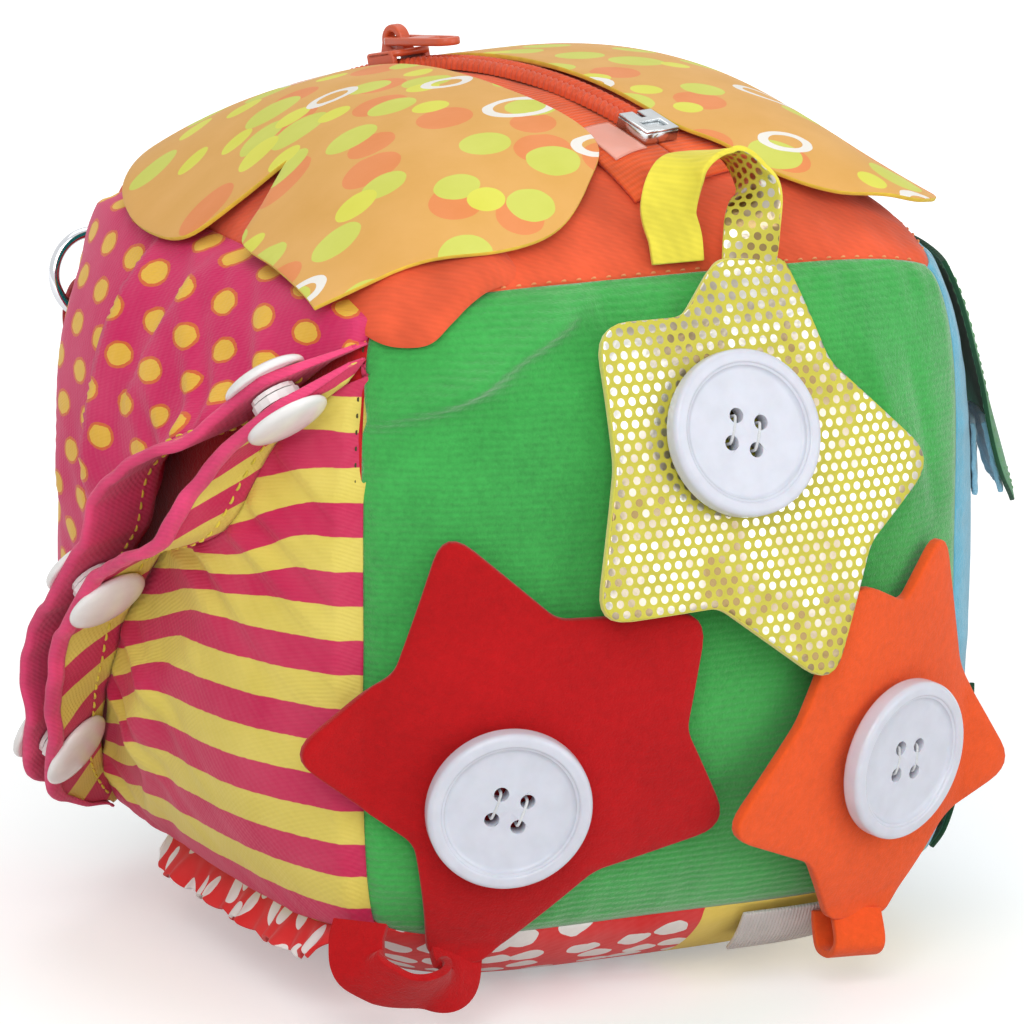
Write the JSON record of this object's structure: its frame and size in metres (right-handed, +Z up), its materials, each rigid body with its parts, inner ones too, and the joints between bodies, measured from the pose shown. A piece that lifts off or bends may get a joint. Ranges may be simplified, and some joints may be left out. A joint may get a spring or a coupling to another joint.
{
  "type": "soft fabric activity block",
  "caption": "Soft stuffed fabric block with a zip, flaps, buttoned felt stars, a snap opening and a ring loop, for practising dressing skills",
  "frame": {"origin": "Middle of the flat patch that the block rests on, under the middle of the cube", "axes": "+Z is up, the face with the stars looks along -Y, and the face with the snap opening along -X"},
  "size_m": [0.1787, 0.1737, 0.1639],
  "materials": {
    "orange_twill": "matte cotton twill, bright orange",
    "green_velour": "brushed velour with a fine level rib, grass green",
    "red_felt": "matte wool-blend felt, red",
    "blue_fleece": "short pile fleece, light blue",
    "teal_cotton": "plain woven cotton, teal",
    "red_spotted_cotton": "plain woven cotton, red with white oval spots",
    "fibre_filling": "loose polyester fibre, white",
    "zip_tape": "woven zip tape with fine ribs, orange",
    "zip_coil": "nylon coil, orange",
    "zip_box_metal": "pressed metal, silver",
    "clear_film": "clear heat-sealed film",
    "slider_paint": "painted die casting, orange",
    "wing_print": "printed cotton over a yellow backing, apricot with pebble shapes",
    "yellow_felt": "felt with a glitter-dot foil face, yellow",
    "yellow_cotton": "plain cotton strap, yellow",
    "red_strap_cotton": "felt strap, red",
    "orange_felt": "matte felt, orange",
    "white_button": "polished polyester, white",
    "white_thread": "cotton sewing thread, white",
    "striped_satin": "satin, pale yellow and magenta stripes",
    "dotted_satin": "satin, magenta with yellow dots",
    "pink_twill": "cotton twill facing, pink",
    "snap_plastic": "moulded plastic, white",
    "green_leaf": "two layers of cotton sewn together, green",
    "hook_and_loop": "hook-and-loop tape, bluish white",
    "red_webbing": "ribbed webbing, red",
    "ring_metal": "plated wire, silver",
    "grey_ribbon": "ribbed ribbon, grey, left bare"
  },
  "bodies": {
    "block": {"top_panel": "orange_twill", "front_panel": "green_velour", "opening_base": "red_felt", "right_panel": "blue_fleece", "back_panel": "teal_cotton", "bottom_panel": "red_spotted_cotton", "spotted_frill": "red_spotted_cotton", "filling": "fibre_filling", "zip_tape_left": "zip_tape", "zip_tape_right": "zip_tape", "zip_coil_left": "zip_coil", "zip_coil_right": "zip_coil", "zip_box": "zip_box_metal", "zip_end_film": "clear_film", "yellow_strap": "yellow_cotton", "red_strap": "red_strap_cotton", "orange_strap": "orange_felt", "button_upper": "white_button", "button_left": "white_button", "button_right": "white_button", "thread_upper": "white_thread", "thread_left": "white_thread", "thread_right": "white_thread", "striped_cloth": "striped_satin", "dotted_cloth": "dotted_satin", "loop_pad": "hook_and_loop", "ring_loop": "red_webbing", "ribbon_tag": "grey_ribbon"},
    "slider": {"zip_slider": "slider_paint"},
    "pull": {"zip_pull": "slider_paint"},
    "left_wing": {"wing_left": "wing_print"},
    "right_wing": {"wing_right": "wing_print"},
    "upper_star": {"yellow_star": "yellow_felt"},
    "left_star": {"red_star": "red_felt"},
    "right_star": {"orange_star": "orange_felt"},
    "striped_fin": {"striped_hem": "striped_satin", "striped_facing": "pink_twill", "striped_cap_top": "snap_plastic", "striped_cap_middle": "snap_plastic", "striped_cap_lower": "snap_plastic", "socket_top": "snap_plastic", "socket_middle": "snap_plastic", "socket_lower": "snap_plastic"},
    "dotted_fin": {"dotted_hem": "dotted_satin", "dotted_facing": "pink_twill", "dotted_cap_top": "snap_plastic", "dotted_cap_middle": "snap_plastic", "dotted_cap_lower": "snap_plastic", "stud_top": "snap_plastic", "stud_middle": "snap_plastic", "stud_lower": "snap_plastic"},
    "upper_leaf": {"leaf_upper": "green_leaf", "hook_pad": "hook_and_loop"},
    "lower_leaf": {"leaf_lower": "green_leaf"},
    "ring": {"pull_ring": "ring_metal"}
  },
  "joints": [
    {"name": "zip_travel", "type": "hinge", "parent": "block", "child": "slider", "pos_m": [-0.0013, 0, 0.02335], "axis": [0.9627, 0.2706, 0], "range_deg": [-4, 24]},
    {"name": "zip_pull_lift", "type": "hinge", "parent": "slider", "child": "pull", "pos_m": [-0.01, 0.03095, 0.1609], "axis": [-0.9627, -0.2706, 0], "range_deg": [0, 150]},
    {"name": "wing_left_lift", "type": "hinge", "parent": "block", "child": "left_wing", "pos_m": [-0.0102, -0.001, 0.1596], "axis": [-0.183, 0.9831, 0], "range_deg": [0, 100]},
    {"name": "wing_right_lift", "type": "hinge", "parent": "block", "child": "right_wing", "pos_m": [0.0051, 0.0022, 0.1598], "axis": [0.2411, -0.9705, 0], "range_deg": [0, 100]},
    {"name": "yellow_star_lift", "type": "hinge", "parent": "block", "child": "upper_star", "pos_m": [0.009, -0.0636, 0.1357], "axis": [-1, 0, 0], "range_deg": [0, 145], "deforming": ["yellow_star", "yellow_strap"]},
    {"name": "red_star_lift", "type": "hinge", "parent": "block", "child": "left_star", "pos_m": [-0.05, -0.0635, 0.02], "axis": [1, 0, 0], "range_deg": [0, 75], "deforming": ["red_star", "red_strap"]},
    {"name": "orange_star_lift", "type": "hinge", "parent": "block", "child": "right_star", "pos_m": [0.035, -0.0642, 0.0138], "axis": [1, 0, 0], "range_deg": [0, 75], "deforming": ["orange_star", "orange_strap"]},
    {"name": "striped_fin_open", "type": "hinge", "parent": "block", "child": "striped_fin", "pos_m": [-0.066, -0.0092, 0.0688], "axis": [0, -0.7071, 0.7071], "range_deg": [0, 11], "deforming": ["striped_hem", "striped_facing"]},
    {"name": "dotted_fin_open", "type": "hinge", "parent": "block", "child": "dotted_fin", "pos_m": [-0.066, -0.0092, 0.0688], "axis": [0, 0.7071, -0.7071], "range_deg": [0, 11], "deforming": ["dotted_hem", "dotted_facing"]},
    {"name": "leaf_upper_lift", "type": "hinge", "parent": "block", "child": "upper_leaf", "pos_m": [0.061, -0.036, 0.1298], "axis": [0, -1, 0], "range_deg": [0, 90]},
    {"name": "leaf_lower_fold", "type": "hinge", "parent": "block", "child": "lower_leaf", "pos_m": [0.06, -0.041, 0.019], "axis": [0, 1, 0], "range_deg": [0, 90]},
    {"name": "ring_swing", "type": "hinge", "parent": "block", "child": "ring", "pos_m": [-0.051, 0.0784, 0.103], "axis": [-1, 0, 0], "range_deg": [-10, 165]}
  ]
}
